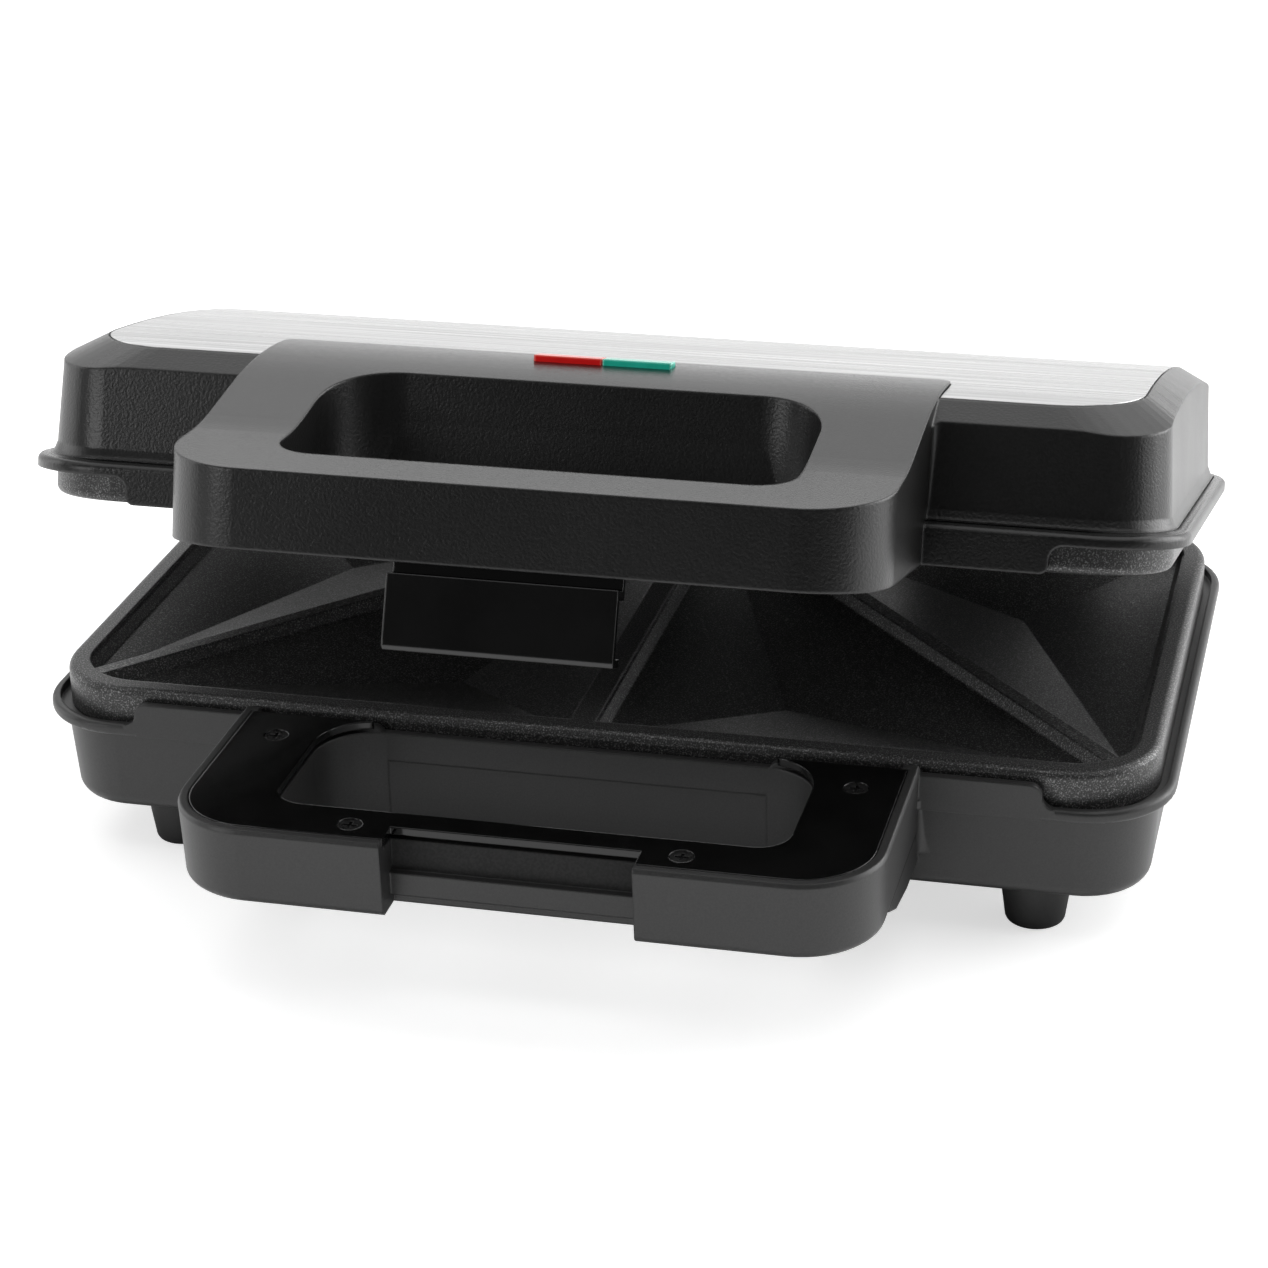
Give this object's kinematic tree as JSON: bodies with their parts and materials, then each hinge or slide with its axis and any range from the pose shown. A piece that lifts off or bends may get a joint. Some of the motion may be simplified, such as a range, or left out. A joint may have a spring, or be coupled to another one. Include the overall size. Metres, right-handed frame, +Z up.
{
  "type": "sandwich toaster",
  "caption": "Countertop sandwich toaster with a hinged lid, diagonal-pocket toasting plates, a loop handle on each half and a latch clip that locks the halves together.",
  "frame": {"origin": "centre of the bounding box, on the surface the feet stand on", "axes": "+X to the right seen from the front, along the hinge axis; +Y from the handles to the hinge; +Z up"},
  "size_m": [0.285, 0.261, 0.131],
  "materials": {
    "base_satin": "satin",
    "lid_matte": "matte",
    "gloss_black": "polished",
    "steel": "satin",
    "plate_coating": "satin",
    "red_clear": "gloss",
    "green_clear": "gloss",
    "rubber_black": "matte",
    "screw_steel": "satin",
    "pan_aluminium": "satin",
    "ceramic_white": "matte",
    "lead_sleeve": "matte",
    "lamp_glass": "gloss"
  },
  "bodies": {
    "base": {"base_housing": "base_satin", "lower_plate": "plate_coating", "lower_handle_cover": "gloss_black", "cover_screws": "screw_steel", "front_feet": "rubber_black", "rear_feet": "rubber_black", "lower_element": "screw_steel", "lower_reflector": "pan_aluminium", "lower_plate_screws": "screw_steel", "lower_thermostat": "ceramic_white", "thermal_fuse": "ceramic_white", "terminal_block": "ceramic_white", "base_leads": "lead_sleeve", "cord_gland": "rubber_black"},
    "lid": {"lid_housing": "lid_matte", "steel_panel": "steel", "upper_plate": "plate_coating", "upper_handle_covers": "lid_matte", "upper_cover_screws": "screw_steel", "red_lens": "red_clear", "green_lens": "green_clear", "lamp_holder": "ceramic_white", "lamps": "lamp_glass", "upper_element": "screw_steel", "upper_reflector": "pan_aluminium", "upper_plate_screws": "screw_steel", "upper_thermostat": "ceramic_white", "lid_leads": "lead_sleeve", "hinge_pins": "screw_steel", "latch_pin": "screw_steel"},
    "latch": {"latch_clip": "gloss_black"}
  },
  "joints": [
    {"name": "lid_hinge", "type": "hinge", "parent": "base", "child": "lid", "pos_m": [0, 0.1145, 0.0584], "axis": [-1, 0, 0], "range_deg": [-15.5, 80]},
    {"name": "latch_hinge", "type": "hinge", "parent": "lid", "child": "latch", "pos_m": [0, -0.11608, 0.11529], "axis": [-1, 0, 0], "range_deg": [-8, 30]}
  ]
}
